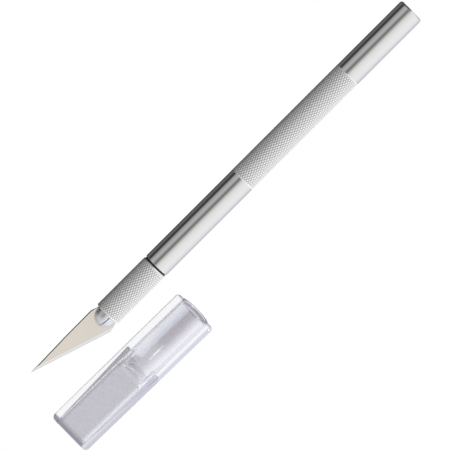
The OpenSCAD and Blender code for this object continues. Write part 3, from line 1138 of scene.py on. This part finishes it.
def floor():
    """Plain white floor at the height of the table. Metal reflects the studio instead of it."""
    s, z = FLOOR_HALF, TABLE_Z * MM - FLOOR_DROP
    mesh = bpy.data.meshes.new("floor")
    mesh.from_pydata([(-s, -s, z), (s, -s, z), (s, s, z), (-s, s, z)], [], [(0, 1, 2, 3)])
    obj = object_from(mesh)
    made = bpy.data.materials.new("floor_white")
    made.use_nodes = True
    made.node_tree.nodes.clear()
    nodes = Nodes(made.node_tree)
    path = nodes.light_path()
    through = nodes.math("GREATER_THAN", path["Transmission Depth"], ONE_PASS)
    seen = nodes.math("MAXIMUM", path["Is Camera Ray"], through)
    colour = nodes.mix(through, WHITE, PAPER_THROUGH_PLASTIC)
    glow = nodes.add("ShaderNodeEmission", {"Color": colour, "Strength": 1.0}).outputs[0]
    open_air = nodes.add("ShaderNodeBsdfTransparent").outputs[0]
    both = nodes.add("ShaderNodeMixShader", {0: seen, 1: open_air, 2: glow})
    nodes.add("ShaderNodeOutputMaterial", {"Surface": both.outputs[0]})
    mesh.materials.append(made)


def sky():
    """Soft studio surround, with one colour for each kind of ray.

    Metal sees the panels, dull surfaces see a side light, and the camera and the clear plastic
    see plain pale walls.
    """
    world = bpy.data.worlds.new("studio")
    world.use_nodes = True
    scene.world = world
    world.node_tree.nodes.clear()
    nodes = Nodes(world.node_tree)
    direction = nodes.add("ShaderNodeTexCoord").outputs["Generated"]
    way = nodes.add("ShaderNodeSeparateXYZ", {0: direction}).outputs
    angle = nodes.math("ARCTAN2", way[1], way[2])
    turn = nodes.math("MULTIPLY_ADD", angle, 1 / (2 * math.pi), 0.5)
    panels = nodes.add("ShaderNodeValToRGB", {"Fac": turn})
    set_stops(panels.color_ramp, [(degrees / 360 + 0.5, colour) for degrees, colour in STUDIO])
    ahead = nodes.math("MULTIPLY", nodes.step(way[0], AHEAD_FROM, AHEAD_FULL), AHEAD_PART)
    colour = nodes.mix(ahead, panels.outputs[0], STUDIO_AHEAD)
    side = nodes.math("MULTIPLY_ADD", way[1], -SIDE_FALL, SIDE_LIGHT)
    side = nodes.math("MINIMUM", nodes.math("MAXIMUM", side, SIDE_LEAST), SIDE_MOST)
    grey = nodes.add("ShaderNodeCombineColor", {0: side, 1: side, 2: side}).outputs[0]
    path = nodes.light_path()
    through = nodes.math("GREATER_THAN", path["Transmission Depth"], ONE_PASS)
    colour = nodes.mix(path["Is Diffuse Ray"], colour, grey)
    colour = nodes.mix(path["Is Camera Ray"], colour, STUDIO_SOFT)
    colour = nodes.mix(through, colour, STUDIO_THROUGH_PLASTIC)
    light = nodes.add("ShaderNodeBackground", {"Color": colour, "Strength": 1.0})
    nodes.add("ShaderNodeOutputWorld", {"Surface": light.outputs[0]})
    world.cycles.sampling_method = "NONE"


def softbox(name, place, target, power):
    """A soft square lamp that points at a target."""
    lamp = bpy.data.lights.new(name, "AREA")
    lamp.shape = "SQUARE"
    lamp.size = LAMP_W
    lamp.energy = power
    obj = bpy.data.objects.new(name, lamp)
    obj.location = place
    obj.rotation_euler = (Vector(target) - Vector(place)).to_track_quat("-Z", "Y").to_euler()
    scene.collection.objects.link(obj)
    return obj


def lamps():
    """A soft key without shadows for the metal, and a lamp for the clear cap's highlights.

    The second lamp lights only the cap's outer faces, so it stops after one pass through plastic.
    """
    key = softbox("key_soft", KEY_PLACE, KEY_TARGET, KEY_POWER)
    key.visible_glossy = False
    key.data.use_shadow = False
    glints = softbox("cap_glints", GLINT_PLACE, GLINT_TARGET, GLINT_POWER)
    glints.visible_diffuse = glints.visible_transmission = False
    glints.data.use_nodes = True
    nodes = Nodes(glints.data.node_tree)
    outside = nodes.math("LESS_THAN", nodes.light_path()["Transmission Depth"], ONE_PASS)
    nodes.feed(nodes.tree.nodes["Emission"].inputs["Strength"], outside)
    clear_parts = bpy.data.collections.new("clear_parts")
    clear_parts.objects.link(bpy.data.objects["safety_cap_body"])
    glints.light_linking.receiver_collection = clear_parts


def camera():
    """Long lens, nearly straight down, with the knife running up to the right."""
    middle = (cad_low + cad_high) / 2
    aim = Vector((middle.x + AIM_X * MM, middle.y + AIM_Y * MM, 0))
    data = bpy.data.cameras.new("camera")
    data.sensor_width = SENSOR_W
    data.lens = SENSOR_W * VIEW_DISTANCE / (VIEW_W * MM)
    data.clip_start, data.clip_end = 0.05, 20
    obj = bpy.data.objects.new("camera", data)
    scene.collection.objects.link(obj)
    back = Vector((math.sin(VIEW_LEAN), 0, math.cos(VIEW_LEAN)))
    obj.location = aim + back * VIEW_DISTANCE
    right = Vector(VIEW_UP).cross(back).normalized()
    turn = Matrix((right, back.cross(right), back)).transposed()
    obj.rotation_mode = "QUATERNION"
    obj.rotation_quaternion = turn.to_quaternion()
    scene.camera = obj


floor()
sky()
lamps()
camera()
scene.view_settings.view_transform = "Standard"
scene.cycles.use_denoising = True
scene.cycles.denoising_prefilter = "ACCURATE"
scene.cycles.sample_clamp_indirect = 1.1
scene.cycles.max_bounces = 24
scene.cycles.glossy_bounces = 16
scene.cycles.transmission_bounces = 24
